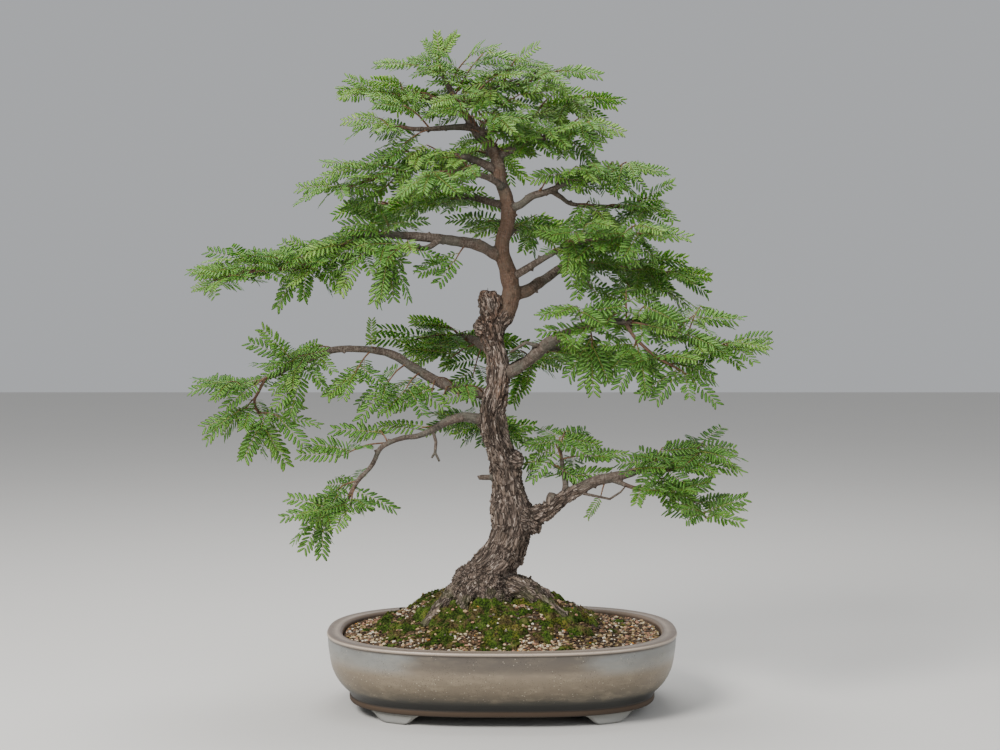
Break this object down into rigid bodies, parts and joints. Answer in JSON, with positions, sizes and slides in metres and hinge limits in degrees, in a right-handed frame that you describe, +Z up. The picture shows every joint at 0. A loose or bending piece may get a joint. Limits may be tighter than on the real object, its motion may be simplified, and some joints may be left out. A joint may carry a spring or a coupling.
{
  "type": "honey locust bonsai",
  "caption": "Honey locust bonsai with a fissured trunk, airy pinnate foliage in open layers and a mossy mound of grit, standing in an oval glazed pot on low feet.",
  "frame": {"origin": "on the plane that the pot's feet stand on, under the middle of the whole plant's box", "axes": "+Z up along the trunk; X along the pot's long side; the front of the tree faces -Y"},
  "size_m": [0.6696, 0.3736, 0.7794],
  "materials": {
    "glazed_stoneware": "satin",
    "soil": "matte",
    "mesh_screen": "matte",
    "bark": "matte",
    "leaf": "satin"
  },
  "bodies": {
    "root": {"pot": "glazed_stoneware", "soil": "soil", "drain_screen_left": "mesh_screen", "drain_screen_right": "mesh_screen", "trunk": "bark", "shoot_01": "leaf", "shoot_02": "leaf", "shoot_03": "leaf", "shoot_04": "leaf", "shoot_05": "leaf", "shoot_06": "leaf", "shoot_07": "leaf", "shoot_08": "leaf", "shoot_09": "leaf", "shoot_10": "leaf", "shoot_11": "leaf", "shoot_12": "leaf", "shoot_13": "leaf", "shoot_14": "leaf", "shoot_15": "leaf", "shoot_16": "leaf", "shoot_17": "leaf", "shoot_18": "leaf", "shoot_19": "leaf", "shoot_20": "leaf", "shoot_21": "leaf", "shoot_22": "leaf", "shoot_23": "leaf", "shoot_24": "leaf", "shoot_25": "leaf", "shoot_26": "leaf", "shoot_27": "leaf", "shoot_28": "leaf", "shoot_29": "leaf", "shoot_30": "leaf", "shoot_31": "leaf", "shoot_32": "leaf", "shoot_33": "leaf", "shoot_34": "leaf", "shoot_35": "leaf", "shoot_36": "leaf", "shoot_37": "leaf", "shoot_38": "leaf", "shoot_39": "leaf", "shoot_40": "leaf", "shoot_41": "leaf", "shoot_42": "leaf", "shoot_43": "leaf", "shoot_44": "leaf", "shoot_45": "leaf", "shoot_46": "leaf", "shoot_47": "leaf", "shoot_48": "leaf", "shoot_49": "leaf", "shoot_50": "leaf", "shoot_51": "leaf", "shoot_52": "leaf", "shoot_53": "leaf", "shoot_54": "leaf", "shoot_55": "leaf"}
  },
  "joints": []
}
